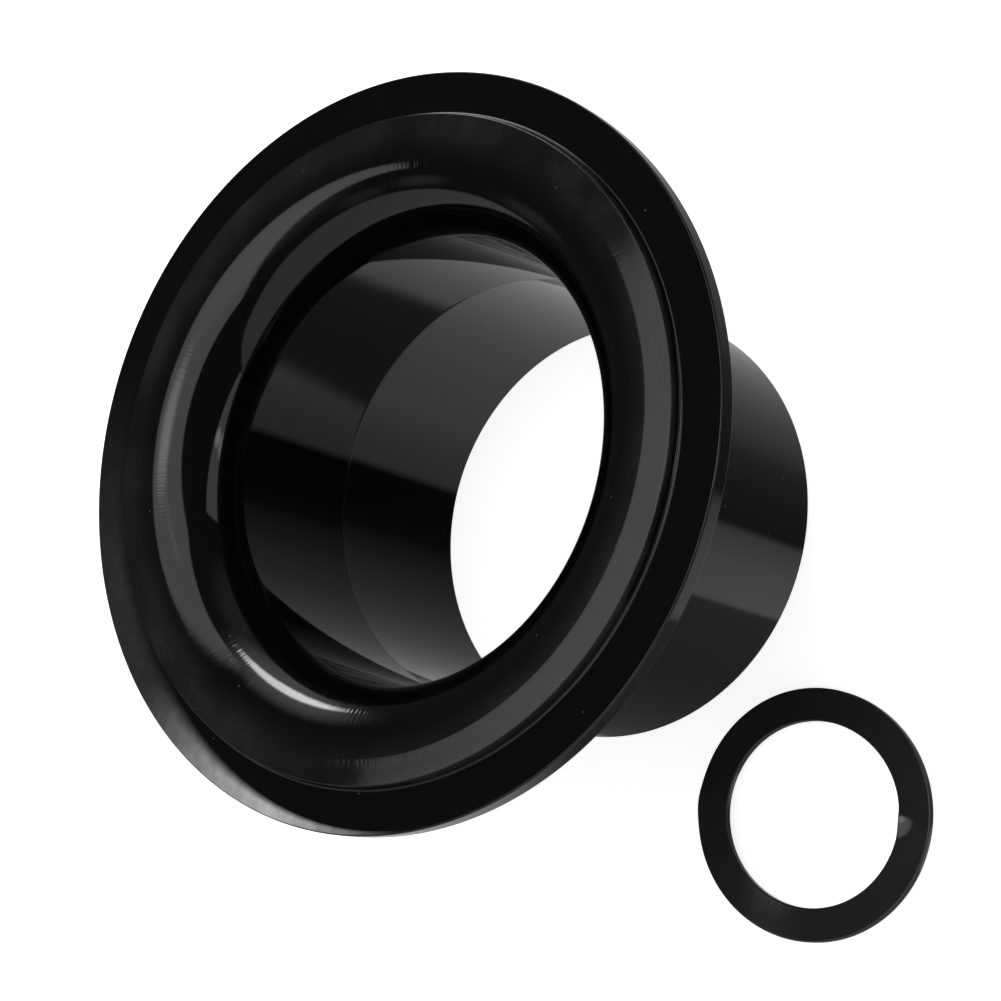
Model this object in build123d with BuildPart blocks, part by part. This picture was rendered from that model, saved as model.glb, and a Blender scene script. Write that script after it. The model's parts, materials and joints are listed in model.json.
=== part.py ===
"""Toilet flange: one moulded flange body, the rubber gasket under its brim, and a loose rubber ring.

Millimetres. +Z runs up the bore, from the spigot to the mouth. The origin is on the bore's axis at the
spigot's open end, which is also the surface that the flange and the loose ring stand on.
"""

import os
from math import acos, cos, degrees, radians, sin, sqrt, tan

from build123d import *

# ---- driving dimensions ----

PIPE_DIAMETER = 114.3  # outside of a 4 inch drain pipe, which the spigot copies
WALL = 2.85  # of the spigot and the rolled mouth

BRIM_DIAMETER = 180.0
BRIM_THICKNESS = 4.8
FACE_HEIGHT = 103.5  # the brim's front face above the spigot's open end

COLLAR_DIAMETER = 159.6  # at its foot, on the brim's face
COLLAR_HEIGHT = 2.5  # at its outer edge
COLLAR_TAPER = 0.8  # its side leans in this far from foot to top
COLLAR_SLOPE = 9.0  # degrees that its top rises inwards, from the outer edge to the crest
CREST_RADIUS = 72.6  # where the sloping top meets the mouth's roll
MOUTH_ROLL = 19.0  # radius of the quarter round from the crest down into the bore

BRIM_FRONT_ROUND = 0.4
BRIM_BACK_ROUND = 0.6
COLLAR_EDGE_ROUND = 0.35
COLLAR_FOOT_ROUND = 0.5
CREST_ROUND = 6.0
RECESS_ROUND = 0.8
SPIGOT_END_ROUND = 0.5

GASKET_DIAMETER = 170.0
GASKET_BORE = 125.0
GASKET_THICKNESS = 3.0

RING_DIAMETER = 62.0
RING_BORE = 45.5
RING_THICKNESS = 2.0
RING_DISTANCE = 98.5  # from the bore's axis to the loose ring's centre
RING_BEARING = -122.3  # degrees from +X

RUBBER_EDGE_ROUND = 0.4

# ---- sizes that follow ----

spigot_radius = PIPE_DIAMETER / 2
bore_radius = spigot_radius - WALL
brim_radius = BRIM_DIAMETER / 2
brim_underside = FACE_HEIGHT - BRIM_THICKNESS

collar_foot_radius = COLLAR_DIAMETER / 2
collar_edge_radius = collar_foot_radius - COLLAR_TAPER
collar_edge_height = FACE_HEIGHT + COLLAR_HEIGHT
crest_height = collar_edge_height + (collar_edge_radius - CREST_RADIUS) * tan(radians(COLLAR_SLOPE))

# The mouth's front and back rolls share one centre, so the wall stays even round the bend.
roll_centre_radius = bore_radius + MOUTH_ROLL
crest_reach = roll_centre_radius - CREST_RADIUS
roll_centre_height = crest_height - sqrt(MOUTH_ROLL**2 - crest_reach**2)
mouth_sweep = degrees(acos(crest_reach / MOUTH_ROLL))
back_roll = MOUTH_ROLL - WALL
recess_ceiling = roll_centre_height + back_roll
recess_radius = collar_foot_radius - WALL

# Corners of the flange body's section, as (radius, height).
bore_end = (bore_radius, 0)
bore_top = (bore_radius, roll_centre_height)
roll_centre = (roll_centre_radius, roll_centre_height)
crest = (CREST_RADIUS, crest_height)
collar_edge = (collar_edge_radius, collar_edge_height)
collar_foot = (collar_foot_radius, FACE_HEIGHT)
rim_front = (brim_radius, FACE_HEIGHT)
rim_back = (brim_radius, brim_underside)
recess_mouth = (recess_radius, brim_underside)
recess_corner = (recess_radius, recess_ceiling)
recess_inner = (roll_centre_radius, recess_ceiling)
spigot_end = (spigot_radius, 0)

rounded_corners = {
    crest: CREST_ROUND,
    rim_front: BRIM_FRONT_ROUND,
    rim_back: BRIM_BACK_ROUND,
    collar_edge: COLLAR_EDGE_ROUND,
    collar_foot: COLLAR_FOOT_ROUND,
    recess_mouth: RECESS_ROUND,
    recess_corner: RECESS_ROUND,
    bore_end: SPIGOT_END_ROUND,
    spigot_end: SPIGOT_END_ROUND,
}

os.makedirs("parts", exist_ok=True)


# ---- flange body: spigot, rolled mouth, collar and brim in one moulding ----

with BuildPart() as flange_body:
    with BuildSketch(Plane.XZ) as section:
        with BuildLine():
            Line(bore_end, bore_top)
            mouth = CenterArc(roll_centre, MOUTH_ROLL, 180, -mouth_sweep)
            Polyline(
                mouth @ 1,
                collar_edge,
                collar_foot,
                rim_front,
                rim_back,
                recess_mouth,
                recess_corner,
                recess_inner,
            )
            mouth_back = CenterArc(roll_centre, back_roll, 90, 90)
            Polyline(mouth_back @ 1, spigot_end, bore_end)
        make_face()
        for corner, radius in rounded_corners.items():
            fillet(section.vertices().sort_by_distance(corner)[0], radius)
    revolve(axis=Axis.Z)

flange_body.part.label = "flange_body"


# ---- seat gasket: flat rubber ring under the brim, its bore snug on the shoulder behind the mouth ----

with BuildPart() as seat_gasket:
    with BuildSketch(Plane.XY.offset(brim_underside - GASKET_THICKNESS)):
        Circle(GASKET_DIAMETER / 2)
        Circle(GASKET_BORE / 2, mode=Mode.SUBTRACT)
    extrude(amount=GASKET_THICKNESS)
    fillet(seat_gasket.edges().filter_by(GeomType.CIRCLE), RUBBER_EDGE_ROUND)

seat_gasket.part.label = "seat_gasket"


# ---- loose ring: thin flat rubber washer lying beside the spigot ----

ring_centre = (
    RING_DISTANCE * cos(radians(RING_BEARING)),
    RING_DISTANCE * sin(radians(RING_BEARING)),
    0,
)

with BuildPart() as loose_ring:
    with BuildSketch(Plane(origin=ring_centre)):
        Circle(RING_DIAMETER / 2)
        Circle(RING_BORE / 2, mode=Mode.SUBTRACT)
    extrude(amount=RING_THICKNESS)
    fillet(loose_ring.edges().filter_by(GeomType.CIRCLE), RUBBER_EDGE_ROUND)

loose_ring.part.label = "loose_ring"


export_step(flange_body.part, "parts/flange_body.step")
export_step(seat_gasket.part, "parts/seat_gasket.step")
export_step(loose_ring.part, "parts/loose_ring.step")
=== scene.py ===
"""Toilet flange in glossy black plastic, the rubber gasket under its brim, and a loose rubber ring.

Metres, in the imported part's frame: +Z runs up the bore, and everything stands on the floor at Z = 0.
"""

import json
from math import cos, exp, pi, radians, sin, tan

import bpy
from mathutils import Matrix, Vector


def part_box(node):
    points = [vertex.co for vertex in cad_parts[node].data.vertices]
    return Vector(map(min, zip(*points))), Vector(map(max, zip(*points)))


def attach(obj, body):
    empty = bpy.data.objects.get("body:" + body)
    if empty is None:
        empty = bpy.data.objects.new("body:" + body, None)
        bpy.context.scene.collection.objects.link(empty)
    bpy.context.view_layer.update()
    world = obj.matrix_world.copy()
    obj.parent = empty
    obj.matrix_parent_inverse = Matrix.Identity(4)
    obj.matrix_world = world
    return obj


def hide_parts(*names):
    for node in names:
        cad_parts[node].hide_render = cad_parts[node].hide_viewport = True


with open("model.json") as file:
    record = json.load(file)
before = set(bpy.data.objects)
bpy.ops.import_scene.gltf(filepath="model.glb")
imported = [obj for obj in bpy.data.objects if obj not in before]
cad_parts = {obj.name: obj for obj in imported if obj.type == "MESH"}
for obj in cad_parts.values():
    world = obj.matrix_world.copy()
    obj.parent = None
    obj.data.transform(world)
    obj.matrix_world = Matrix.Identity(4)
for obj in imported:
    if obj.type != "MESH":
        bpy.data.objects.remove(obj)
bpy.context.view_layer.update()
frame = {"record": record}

MM = 0.001


# ---- sizes from the frame ----

mounts = {mount["name"]: mount for mount in frame["record"]["mounts"]}
flange_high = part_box("flange_body")[1]
gasket_low, gasket_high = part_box("seat_gasket")
ring_low, ring_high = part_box("loose_ring")

BRIM_RADIUS = flange_high.x
SPIGOT_RADIUS = mounts["spigot"]["dims"]["r_mm"] * MM
BORE_RADIUS = mounts["bore"]["dims"]["r_mm"] * MM
WALL = SPIGOT_RADIUS - BORE_RADIUS
BRIM_FACE = mounts["brim_face"]["pos_m"][2]
BRIM_UNDERSIDE = gasket_high.z

# ---- sizes of the moulding that the frame doesn't name ----

COLLAR_FOOT_RADIUS = 79.8 * MM
COLLAR_EDGE_RADIUS = 79.0 * MM
COLLAR_EDGE_HEIGHT = BRIM_FACE + 2.5 * MM
COLLAR_SLOPE = radians(9.0)
CREST_OUTER_RADIUS = 73.2 * MM
CREST_ROUND = 6.0 * MM
CREST_LEAN = radians(4.6)  # how far the crest has tipped inwards where the mouth's roll takes over
COLLAR_EDGE_ROUND = 0.35 * MM
COLLAR_FOOT_ROUND = 0.5 * MM
BRIM_FRONT_ROUND = 0.4 * MM
BRIM_BACK_ROUND = 0.6 * MM
RECESS_ROUND = 0.8 * MM
SPIGOT_END_ROUND = 0.5 * MM
RECESS_RADIUS = COLLAR_FOOT_RADIUS - WALL
WITNESS_HEIGHT = 49.5 * MM  # where the two halves of the mould's core meet in the bore
WITNESS_SPREAD = 0.9 * MM
WITNESS_RIDGE = 0.06 * MM
CORE_DRAFT = 0.12 * MM  # how much each half of the core narrows towards that line

GASKET_BORE_RADIUS = 62.5 * MM
GASKET_EDGE_ROUND = 0.4 * MM
RING_BORE_SHARE = 0.735  # the loose ring's bore over its outside
RING_EDGE_ROUND = 0.3 * MM

# ---- segments round each piece ----

FLANGE_SEGMENTS = 720
GASKET_SEGMENTS = 360
RING_SEGMENTS = 240
RING_ACROSS = 8  # bands from the loose ring's bore to its rim, so that the rubber can curl
MOUTH_ARC_STEPS = 120
CREST_ARC_STEPS = 16
BACK_ARC_STEPS = 40


def on_circle(centre, radius, start, end, count):
    """Unrounded corners along the arc from start to end, in radians from the outward horizontal."""
    steps = [start + (end - start) * i / count for i in range(count + 1)]
    return [(centre[0] + radius * cos(a), centre[1] + radius * sin(a), 0) for a in steps]


def rounded(corners, steps=8, support=0.12 * MM):
    """A closed outline from (radius, height, round) corners.

    Each round is an arc between two support points, one a little way along each flat.
    """
    outline = []
    for i, (r, z, size) in enumerate(corners):
        here = Vector((r, z))
        if size == 0:
            outline.append(here)
            continue
        before = (Vector(corners[i - 1][:2]) - here).normalized()
        after = (Vector(corners[(i + 1) % len(corners)][:2]) - here).normalized()
        half = before.angle(after) / 2
        centre = here + (before + after).normalized() * (size / sin(half))
        start = here + before * (size / tan(half))
        end = here + after * (size / tan(half))
        first = start - centre
        turn = first.angle_signed(end - centre)
        outline.append(start + before * support)
        for step in range(steps + 1):
            outline.append(centre + Matrix.Rotation(-turn * step / steps, 2) @ first)
        outline.append(end + after * support)
    return outline


def lathe(name, outline, segments, centre=(0, 0), lift=None):
    """Turns a closed (radius, height) outline about a vertical axis through centre."""
    count = len(outline)
    verts = []
    for s in range(segments):
        angle = 2 * pi * s / segments
        for r, z in outline:
            rise = lift(angle, r) if lift else 0
            verts.append((centre[0] + r * cos(angle), centre[1] + r * sin(angle), z + rise))
    faces = []
    for s in range(segments):
        a = s * count
        b = ((s + 1) % segments) * count
        for i in range(count):
            j = (i + 1) % count
            faces.append((a + i, a + j, b + j, b + i))
    mesh = bpy.data.meshes.new(name)
    mesh.from_pydata(verts, [], faces)
    mesh.polygons.foreach_set("use_smooth", [True] * len(faces))
    mesh.update()
    piece = bpy.data.objects.new(name, mesh)
    bpy.context.scene.collection.objects.link(piece)
    return piece


# ---- flange body ----

crest_height = COLLAR_EDGE_HEIGHT + (COLLAR_EDGE_RADIUS - CREST_OUTER_RADIUS) * tan(COLLAR_SLOPE)
crest_centre = (
    CREST_OUTER_RADIUS - CREST_ROUND * sin(COLLAR_SLOPE),
    crest_height - CREST_ROUND * cos(COLLAR_SLOPE),
)
roll_start = (
    crest_centre[0] - CREST_ROUND * sin(CREST_LEAN),
    crest_centre[1] + CREST_ROUND * cos(CREST_LEAN),
)
mouth_roll = (roll_start[0] - BORE_RADIUS) / (1 - sin(CREST_LEAN))
roll_centre = (BORE_RADIUS + mouth_roll, roll_start[1] - mouth_roll * cos(CREST_LEAN))
back_roll = mouth_roll - WALL

mouth_arc = on_circle(roll_centre, mouth_roll, pi, pi / 2 + CREST_LEAN, MOUTH_ARC_STEPS)
crest_arc = on_circle(
    crest_centre, CREST_ROUND, pi / 2 + CREST_LEAN, pi / 2 - COLLAR_SLOPE, CREST_ARC_STEPS
)
back_arc = on_circle(roll_centre, back_roll, pi / 2, pi, BACK_ARC_STEPS)

flange_outline = rounded(
    [
        (BORE_RADIUS + CORE_DRAFT, 0, SPIGOT_END_ROUND),
        (BORE_RADIUS - CORE_DRAFT, WITNESS_HEIGHT - WITNESS_SPREAD, 0),
        (BORE_RADIUS - CORE_DRAFT - WITNESS_RIDGE / 2, WITNESS_HEIGHT - WITNESS_SPREAD / 2, 0),
        (BORE_RADIUS - CORE_DRAFT - WITNESS_RIDGE, WITNESS_HEIGHT, 0),
        (BORE_RADIUS - CORE_DRAFT - WITNESS_RIDGE / 2, WITNESS_HEIGHT + WITNESS_SPREAD / 2, 0),
        (BORE_RADIUS - CORE_DRAFT, WITNESS_HEIGHT + WITNESS_SPREAD, 0),
        *mouth_arc,
        *crest_arc[1:],
        (COLLAR_EDGE_RADIUS, COLLAR_EDGE_HEIGHT, COLLAR_EDGE_ROUND),
        (COLLAR_FOOT_RADIUS, BRIM_FACE, COLLAR_FOOT_ROUND),
        (BRIM_RADIUS, BRIM_FACE, BRIM_FRONT_ROUND),
        (BRIM_RADIUS, BRIM_UNDERSIDE, BRIM_BACK_ROUND),
        (RECESS_RADIUS, BRIM_UNDERSIDE, RECESS_ROUND),
        (RECESS_RADIUS, roll_centre[1] + back_roll, RECESS_ROUND),
        *back_arc,
        (SPIGOT_RADIUS, 0, SPIGOT_END_ROUND),
    ]
)
flange = lathe("flange_moulding", flange_outline, FLANGE_SEGMENTS)


# ---- seat gasket ----

gasket_outer = gasket_high.x
gasket_outline = rounded(
    [
        (GASKET_BORE_RADIUS, gasket_low.z, GASKET_EDGE_ROUND),
        (GASKET_BORE_RADIUS, gasket_high.z, GASKET_EDGE_ROUND),
        (gasket_outer, gasket_high.z, GASKET_EDGE_ROUND),
        (gasket_outer, gasket_low.z, GASKET_EDGE_ROUND),
    ],
    steps=4,
)
gasket = lathe("seat_gasket_rubber", gasket_outline, GASKET_SEGMENTS)


# ---- loose ring ----

ring_centre = (ring_low + ring_high) / 2
ring_outer = (ring_high.x - ring_low.x) / 2
ring_bore = ring_outer * RING_BORE_SHARE
ring_across = [ring_bore + (ring_outer - ring_bore) * i / RING_ACROSS for i in range(1, RING_ACROSS)]
ring_outline = rounded(
    [
        (ring_bore, ring_low.z, RING_EDGE_ROUND),
        (ring_bore, ring_high.z, RING_EDGE_ROUND),
        *[(radius, ring_high.z, 0) for radius in ring_across],
        (ring_outer, ring_high.z, RING_EDGE_ROUND),
        (ring_outer, ring_low.z, RING_EDGE_ROUND),
        *[(radius, ring_low.z, 0) for radius in reversed(ring_across)],
    ],
    steps=4,
)


def bulge(angle, middle, spread):
    """A smooth bump of height 1 round the ring. The angle is in radians, middle and spread in degrees."""
    away = (angle - radians(middle) + pi) % (2 * pi) - pi
    return exp(-((away / radians(spread)) ** 2))


def ring_wave(angle, radius):
    """The thin rubber doesn't lie flat: one side has curled up, and its edges turn up in short lips."""
    share = (radius - ring_bore) / (ring_outer - ring_bore)
    curl = 1.3 * (1 + sin(angle)) + 0.12 * (1 + sin(3 * angle + 0.8))
    outer_lip = 0.6 * share**4 * bulge(angle, 104, 8)
    inner_lip = 0.6 * (1 - share) ** 4 * bulge(angle, 285, 7)
    return (curl + outer_lip + inner_lip) * MM


ring = lathe("loose_ring_rubber", ring_outline, RING_SEGMENTS, centre=ring_centre.xy, lift=ring_wave)


# ---- node helpers ----


class Graph:
    """Short calls for wiring one node tree."""

    def __init__(self, tree):
        self.tree = tree
        tree.nodes.clear()

    def add(self, kind, **settings):
        node = self.tree.nodes.new(kind)
        for key, value in settings.items():
            setattr(node, key, value)
        return node

    def feed(self, socket, value):
        if isinstance(value, bpy.types.NodeSocket):
            self.tree.links.new(value, socket)
        else:
            socket.default_value = value

    def math(self, operation, *values, clamp=False):
        node = self.add("ShaderNodeMath", operation=operation, use_clamp=clamp)
        for socket, value in zip(node.inputs, values):
            self.feed(socket, value)
        return node.outputs[0]

    def times(self, product, *others):
        """All the values multiplied together."""
        for other in others:
            product = self.math("MULTIPLY", product, other)
        return product

    def dot(self, a, b):
        node = self.add("ShaderNodeVectorMath", operation="DOT_PRODUCT")
        self.feed(node.inputs[0], a)
        self.feed(node.inputs[1], b)
        return node.outputs["Value"]

    def ramp(self, value, low, high, to_low=0.0, to_high=1.0):
        """Smooth step of value from low to high."""
        node = self.add("ShaderNodeMapRange", interpolation_type="SMOOTHSTEP")
        for name, given in (
            ("Value", value),
            ("From Min", low),
            ("From Max", high),
            ("To Min", to_low),
            ("To Max", to_high),
        ):
            self.feed(node.inputs[name], given)
        return node.outputs["Result"]

    def noise(self, vector, scale, detail=2.0, roughness=0.5):
        node = self.add("ShaderNodeTexNoise")
        self.feed(node.inputs["Vector"], vector)
        self.feed(node.inputs["Scale"], scale)
        self.feed(node.inputs["Detail"], detail)
        self.feed(node.inputs["Roughness"], roughness)
        return node.outputs["Fac"]

    def split(self, vector):
        node = self.add("ShaderNodeSeparateXYZ")
        self.feed(node.inputs[0], vector)
        return node.outputs

    def join(self, x, y, z):
        node = self.add("ShaderNodeCombineXYZ")
        for socket, value in zip(node.inputs, (x, y, z)):
            self.feed(socket, value)
        return node.outputs[0]


def new_material(name):
    material = bpy.data.materials.new(name)
    material.use_nodes = True
    return material, Graph(material.node_tree)


# ---- glossy black plastic ----

PLASTIC_COLOUR = (0.003, 0.003, 0.0032, 1)
# Pale colour of the dust, also used for the painted highlight on the brim.
DUST_AND_HIGHLIGHT_COLOUR = (0.8, 0.8, 0.8, 1)
POLISHED_ROUGHNESS = 0.045
HAZE_ROUGHNESS = 0.12  # added where the haze is full
LINES_ROUGHNESS = 0.05
# Added on the dust specks and on the painted highlight.
SPECK_AND_HIGHLIGHT_ROUGHNESS = 0.4
HAZE_DUST = 0.034  # share of the dust's colour where the haze is full
SPECK_DUST = 0.04
LINES_DEPTH = 0.04 * MM
SPOKE_SCALE = 60.0


def collar_haze(g, place, radius, z):
    """Handling haze on the collar's sloping top, in soft blotches with a fine grain."""
    on_slope = g.ramp(radius, 66.0 * MM, 76.0 * MM)
    above_face = g.ramp(z, BRIM_FACE + 0.5 * MM, BRIM_FACE + 2.0 * MM)
    blotches = g.ramp(g.noise(place, 38.0, 5.0, 0.6), 0.28, 0.72, 0.15, 1.0)
    grain = g.ramp(g.noise(place, 3200.0, 2.0), 0.25, 0.75, 0.6, 1.0)
    return g.times(on_slope, above_face, blotches, grain)


def painted_highlight_crescent(g, place, radius):
    """A painted highlight: a pale crescent painted into the colour of the brim's outer face.

    It is brightest near -X, and it widens and fades towards +Y.
    """
    x, y, z = g.split(place)
    highlight_bearing = g.math("ARCTAN2", g.times(y, -1.0), g.times(x, -1.0))
    width = g.ramp(highlight_bearing, radians(32), radians(-50), 0.4 * MM, 11.0 * MM)
    inner = g.math("SUBTRACT", BRIM_RADIUS - 0.4 * MM, width)
    middle = g.math("ADD", inner, g.times(width, 0.55))
    from_inside = g.ramp(radius, inner, middle)
    from_edge = g.ramp(radius, BRIM_RADIUS - 0.15 * MM, BRIM_RADIUS - 0.45 * MM)
    past_start = g.ramp(highlight_bearing, radians(28), radians(0))
    fading = g.ramp(highlight_bearing, radians(-34), radians(6), 0.05, 1.0)
    before_end = g.ramp(highlight_bearing, radians(-95), radians(-45))
    on_face = g.ramp(z, BRIM_FACE - 0.5 * MM, BRIM_FACE)
    # A speckled grain across the painted highlight.
    specks_and_painted_highlight = g.ramp(g.noise(place, 300.0, 5.0), 0.3, 0.7, 0.75, 1.0)
    return g.times(from_inside, from_edge, past_start, fading, before_end, on_face, specks_and_painted_highlight)


def polishing_lines(g, place, radius):
    """Fine lines that run out from the bore across the roll, deeper in some places than in others."""
    x, y = g.split(place)[:2]
    spokes = g.join(
        g.times(g.math("DIVIDE", x, radius), SPOKE_SCALE),
        g.times(g.math("DIVIDE", y, radius), SPOKE_SCALE),
        g.times(radius, SPOKE_SCALE),
    )
    lines = g.noise(spokes, 2.2, 1.0, 0.5)
    past_bore = g.ramp(radius, 57.0 * MM, 62.0 * MM)
    before_collar = g.ramp(radius, 76.0 * MM, 72.0 * MM)
    patches = g.ramp(g.noise(place, 14.0, 2.0), 0.4, 0.6, 0.5, 1.0)
    return g.times(lines, past_bore, before_collar, patches)


def dust_specks(g, place):
    """1 in a few tiny round specks and 0 elsewhere."""
    cells = g.add("ShaderNodeTexVoronoi", feature="F1")
    g.feed(cells.inputs["Vector"], place)
    g.feed(cells.inputs["Scale"], 420.0)
    chance = g.split(cells.outputs["Color"])[0]
    speck_size = g.ramp(chance, 0.9, 1.0, 0.0, 0.12)
    return g.math("LESS_THAN", cells.outputs["Distance"], speck_size)


def plastic_bump(g, place, lines):
    """The moulding's slow swell, with the polishing lines on top of it."""
    swell = g.add("ShaderNodeBump")
    g.feed(swell.inputs["Strength"], 0.05)
    g.feed(swell.inputs["Distance"], 0.2 * MM)
    g.feed(swell.inputs["Height"], g.noise(place, 55.0, 2.0))
    bump = g.add("ShaderNodeBump")
    g.feed(bump.inputs["Strength"], 1.0)
    g.feed(bump.inputs["Distance"], LINES_DEPTH)
    g.feed(bump.inputs["Height"], lines)
    g.feed(bump.inputs["Normal"], swell.outputs[0])
    return bump.outputs[0]


def gloss_black_plastic():
    material, g = new_material("gloss_black_plastic")
    place = g.add("ShaderNodeTexCoord").outputs["Object"]
    x, y, z = g.split(place)
    radius = g.math("SQRT", g.math("ADD", g.times(x, x), g.times(y, y)))
    haze = collar_haze(g, place, radius, z)
    # A painted highlight: the pale crescent on the brim's outer face.
    painted_highlight = painted_highlight_crescent(g, place, radius)
    lines = polishing_lines(g, place, radius)
    speck = dust_specks(g, place)

    dust = g.math("MAXIMUM", g.times(speck, SPECK_DUST), g.times(haze, HAZE_DUST))
    colour = g.add("ShaderNodeMix", data_type="RGBA")
    # The pale colour goes where there is dust, and where the crescent is a painted highlight.
    g.feed(colour.inputs["Factor"], g.math("MAXIMUM", dust, painted_highlight))
    g.feed(colour.inputs[6], PLASTIC_COLOUR)
    g.feed(colour.inputs[7], DUST_AND_HIGHLIGHT_COLOUR)

    # Dust specks and the painted highlight are rougher.
    specks_and_painted_highlight = g.math("MAXIMUM", speck, painted_highlight)
    roughness = g.math("ADD", POLISHED_ROUGHNESS, g.times(haze, HAZE_ROUGHNESS))
    roughness = g.math("ADD", roughness, g.times(lines, LINES_ROUGHNESS))
    roughness = g.math("ADD", roughness, g.times(specks_and_painted_highlight, SPECK_AND_HIGHLIGHT_ROUGHNESS), clamp=True)

    shader = g.add("ShaderNodeBsdfPrincipled")
    g.feed(shader.inputs["IOR"], 1.5)
    g.feed(shader.inputs["Base Color"], colour.outputs[2])
    g.feed(shader.inputs["Roughness"], roughness)
    g.feed(shader.inputs["Normal"], plastic_bump(g, place, lines))
    g.feed(g.add("ShaderNodeOutputMaterial").inputs["Surface"], shader.outputs[0])
    return material


# ---- rubber ----


def rubber(name, colour, roughness, grain):
    material, g = new_material(name)
    place = g.add("ShaderNodeTexCoord").outputs["Object"]
    cloud = g.noise(place, 60.0, 3.0)
    fine = g.noise(place, 1400.0, 2.0)
    bump = g.add("ShaderNodeBump")
    g.feed(bump.inputs["Strength"], grain)
    g.feed(bump.inputs["Distance"], 0.2 * MM)
    g.feed(bump.inputs["Height"], fine)
    shader = g.add("ShaderNodeBsdfPrincipled")
    g.feed(shader.inputs["IOR"], 1.5)
    g.feed(shader.inputs["Base Color"], (*colour, 1))
    g.feed(shader.inputs["Roughness"], g.ramp(cloud, 0.3, 0.7, roughness * 0.7, roughness * 1.3))
    g.feed(shader.inputs["Normal"], bump.outputs[0])
    g.feed(g.add("ShaderNodeOutputMaterial").inputs["Surface"], shader.outputs[0])
    return material


flange.data.materials.append(gloss_black_plastic())
gasket.data.materials.append(rubber("gasket_rubber", (0.012, 0.012, 0.013), 0.5, 0.3))
ring.data.materials.append(rubber("ring_rubber", (0.022, 0.0225, 0.024), 0.1, 0.04))

for piece, body, node, slot in (
    (flange, "flange", "flange_body", "gloss_black_plastic"),
    (gasket, "gasket", "seat_gasket", "gasket_rubber"),
    (ring, "ring", "loose_ring", "ring_rubber"),
):
    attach(piece, body)
    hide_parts(node)


# ---- floor ----

FLOOR_REACH = 3.0
FLOOR_COLOUR = (0.9, 0.9, 0.9, 1)
FLOOR_GLOW = 0.8  # keeps the floor as pale as the backdrop, with only a soft shadow


def pale_floor_material():
    material, g = new_material("floor")
    shader = g.add("ShaderNodeBsdfPrincipled")
    g.feed(shader.inputs["Base Color"], FLOOR_COLOUR)
    g.feed(shader.inputs["Roughness"], 0.9)
    g.feed(shader.inputs["Specular IOR Level"], 0.0)
    g.feed(shader.inputs["Emission Color"], (1, 1, 1, 1))
    g.feed(shader.inputs["Emission Strength"], FLOOR_GLOW)
    g.feed(g.add("ShaderNodeOutputMaterial").inputs["Surface"], shader.outputs[0])
    return material


floor_corners = [(x * FLOOR_REACH, y * FLOOR_REACH, 0) for x, y in ((-1, -1), (1, -1), (1, 1), (-1, 1))]
floor_mesh = bpy.data.meshes.new("floor")
floor_mesh.from_pydata(floor_corners, [], [(0, 1, 2, 3)])
floor_mesh.materials.append(pale_floor_material())
floor = bpy.data.objects.new("floor", floor_mesh)
bpy.context.scene.collection.objects.link(floor)
floor.visible_glossy = False
ring.visible_glossy = False


# ---- studio ----


def direction(azimuth, elevation):
    """Unit vector towards a compass bearing from +X and a height above the horizon, in degrees."""
    round_horizon = radians(azimuth)
    rise = radians(elevation)
    return Vector((cos(rise) * cos(round_horizon), cos(rise) * sin(round_horizon), sin(rise)))


# Each panel is a convex outline on the sky: brightness, edge softness, and (bearing, elevation) corners.
OVERHEAD = (1.2, 0.012, [(224, 56), (334, 47), (25, 36), (134, 47)])
FLAP = (1.0, 0.03, [(20, 33), (42, 55), (60, 67), (90, 60), (60, 30)])
PALE_WALL_CORNERS = [
    (264, -2),
    (249, 25),
    (232, 38),
    (211, 40.5),
    (180, 41),
    (147, 26),
    (119, 4),
    (120, -30),
    (255, -30),
]
PANELS = [
    (0.50, 0.02, PALE_WALL_CORNERS),
    (0.85, 0.012, [(262, -5), (260, 10), (297, 19), (319, 21), (324, -5)]),
    (1.10, 0.03, [(292, 71), (296, 71), (62, 73), (56, 73)]),
    (0.90, 0.04, [(178, 69), (182, 69), (4, 60), (0, 60)]),
    (10.0, 0.03, [(22, 29), (20, 24), (38, 12), (50, 9), (53, 12), (40, 23)]),
    (5.00, 0.006, [(41, -2.0), (52, -1.0), (53, -3.5), (41, -4.5)]),
]
# Each glow is a round soft light: bearing, elevation, inner and outer radius in degrees, and brightness.
GLOWS = [
    (30, 83, 1, 11, 1.8),
    (288, 13, 1, 5, 2.0),
    (291, 4, 2, 7, 1.6),
    (36, 19, 5, 26, 0.9),
    (0, 8, 3, 26, 0.16),
    (165, 41, 1, 9, 0.16),
    (145, 34, 1, 8, 0.22),
    (121, 16, 2, 9, 0.14),
    (170, 68, 2, 22, 0.25),
]
SKY_BASE = 0.05
# Brightness by bearing of the studio's floor, far out and then nearer to the stand.
FAR_FLOOR = [
    (0, 0.22), (24, 0.33), (48, 0.48), (85, 0.62), (120, 0.72), (150, 0.67),
    (190, 0.58), (245, 0.56), (265, 0.38), (279.5, 0.32), (284, 0.006), (306, 0.012),
    (317, 0.03), (322, 0.07), (342, 0.16), (360, 0.22),
]
NEAR_FLOOR = [
    (0, 0.30), (30, 0.43), (60, 0.50), (110, 0.45), (125, 0.09), (200, 0.10),
    (235, 0.15), (246, 0.17), (248, 0.62), (268, 0.57), (286, 0.36), (290, 0.05),
    (312, 0.07), (328, 0.11), (338, 0.20), (360, 0.30),
]
# Elevations, in degrees.
SKY_ENDS = -28.0
FLOOR_STARTS = -36.0
FLOOR_SPLIT = -56.0  # where the near floor takes over
# Round edges on the sky: bearing, elevation, outer and inner radius in degrees.
ROUND_SHAPE = (90, 50, 23.5, 21)
BACKDROP_FOOT = (214, 72, 121.8, 120.2)
BACKDROP_SHADE = 0.18  # what is left of the far floor's light in front of the dark backdrop


def blend(g, low, high, share):
    """low where share is 0 and high where share is 1."""
    kept = g.times(low, g.math("SUBTRACT", 1.0, share))
    return g.math("ADD", g.times(high, share), kept)


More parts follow.
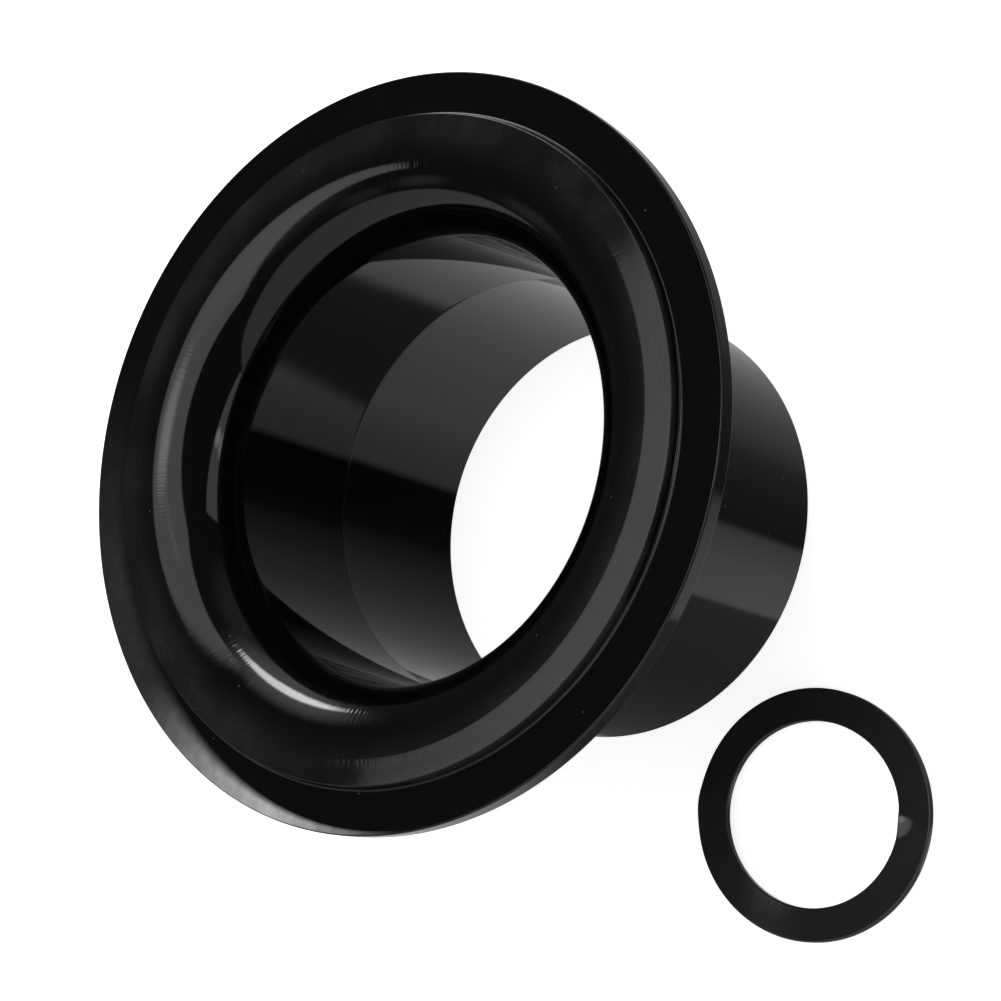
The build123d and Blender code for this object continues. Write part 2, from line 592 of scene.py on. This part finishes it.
def panel_light(g, sky, strength, softness, corners):
    points = [direction(*corner) for corner in corners]
    middle = sum(points, Vector())
    light = strength
    for a, b in zip(points, points[1:] + points[:1]):
        side = a.cross(b).normalized()
        if side.dot(middle) < 0:
            side.negate()
        edge = g.ramp(g.dot(sky, side), -softness, softness)
        light = g.times(light, edge)
    return light


def disc(g, sky, azimuth, elevation, outer, inner, outside=0.0, inside=1.0):
    """The value outside or inside a circle on the sky, blended between its outer and inner radius."""
    facing = g.dot(sky, direction(azimuth, elevation))
    return g.ramp(facing, cos(radians(outer)), cos(radians(inner)), outside, inside)


def floor_light(g, bearing, stops):
    """Brightness by bearing, from (degrees, brightness) stops; bearing is a share of a full circle."""
    ramp = g.add("ShaderNodeValToRGB")
    elements = ramp.color_ramp.elements
    while len(elements) < len(stops):
        elements.new(0.5)
    for element, (degrees_round, brightness) in zip(elements, stops):
        element.position = degrees_round / 360
        element.color = (brightness, brightness, brightness, 1)
    g.feed(ramp.inputs[0], bearing)
    return ramp.outputs[0]


def sky_light(g, sky):
    """The overhead panel, cut by a dark round shape and a dark flap, with the other lights added."""
    past_shape = disc(g, sky, *ROUND_SHAPE, outside=1.0, inside=0.0)
    past_flap = g.math("SUBTRACT", 1.0, panel_light(g, sky, *FLAP))
    total = g.times(panel_light(g, sky, *OVERHEAD), past_shape, past_flap)
    for panel in PANELS:
        total = g.math("ADD", total, panel_light(g, sky, *panel))
    for azimuth, elevation, inner, outer, strength in GLOWS:
        glow = disc(g, sky, azimuth, elevation, outer, inner, inside=strength)
        total = g.math("ADD", total, glow)
    return g.math("ADD", total, SKY_BASE)


def ground_light(g, sky):
    """The floor's brightness by bearing. A dark backdrop with a curved foot stands on the far floor."""
    sky_x, sky_y, height = g.split(sky)
    turns = g.math("DIVIDE", g.math("ARCTAN2", sky_y, sky_x), 2 * pi)
    bearing = g.math("FRACT", g.math("ADD", turns, 1.0))
    shade = disc(g, sky, *BACKDROP_FOOT, outside=1.0, inside=BACKDROP_SHADE)
    far_floor = g.times(floor_light(g, bearing, FAR_FLOOR), shade)
    near_floor = floor_light(g, bearing, NEAR_FLOOR)
    is_near = g.ramp(height, sin(radians(FLOOR_SPLIT + 1)), sin(radians(FLOOR_SPLIT - 1)))
    return blend(g, far_floor, near_floor, is_near)


def make_studio():
    """The reflections see the panels, glows and floors, and the camera sees a plain white backdrop."""
    world = bpy.data.worlds.new("studio")
    bpy.context.scene.world = world
    world.use_nodes = True
    world.cycles.sampling_method = "NONE"
    g = Graph(world.node_tree)
    sky = g.add("ShaderNodeTexCoord").outputs["Generated"]
    is_below = g.ramp(g.split(sky)[2], sin(radians(SKY_ENDS)), sin(radians(FLOOR_STARTS)))
    light = blend(g, sky_light(g, sky), ground_light(g, sky), is_below)
    surroundings = g.add("ShaderNodeBackground")
    g.feed(surroundings.inputs["Color"], (1, 1, 1, 1))
    g.feed(surroundings.inputs["Strength"], light)
    backdrop = g.add("ShaderNodeBackground")
    g.feed(backdrop.inputs["Color"], (1, 1, 1, 1))
    g.feed(backdrop.inputs["Strength"], 1.0)
    chooser = g.add("ShaderNodeMixShader")
    g.feed(chooser.inputs[0], g.add("ShaderNodeLightPath").outputs["Is Camera Ray"])
    g.feed(chooser.inputs[1], surroundings.outputs[0])
    g.feed(chooser.inputs[2], backdrop.outputs[0])
    g.feed(g.add("ShaderNodeOutputWorld").inputs["Surface"], chooser.outputs[0])


make_studio()
bpy.context.scene.view_settings.view_transform = "Standard"


# ---- camera ----

CAMERA_PLACE = Vector((-1.776, -343.522, 515.733)) * MM
CAMERA_BEARING = 90.326  # the way it looks, in degrees from +X
CAMERA_ELEVATION = -53.423
CAMERA_ROLL = -71.933
CAMERA_LENS = 83.21

camera_data = bpy.data.cameras.new("camera")
camera_data.lens = CAMERA_LENS
camera_data.sensor_width = 36
camera = bpy.data.objects.new("camera", camera_data)
looking = direction(CAMERA_BEARING, CAMERA_ELEVATION)
level_right = looking.cross(Vector((0, 0, 1))).normalized()
camera_right = Matrix.Rotation(radians(CAMERA_ROLL), 3, -looking) @ level_right
camera_up = camera_right.cross(looking)
facing = Matrix((camera_right, camera_up, -looking)).transposed().to_4x4()
camera.matrix_world = Matrix.Translation(CAMERA_PLACE) @ facing
bpy.context.scene.collection.objects.link(camera)
bpy.context.scene.camera = camera
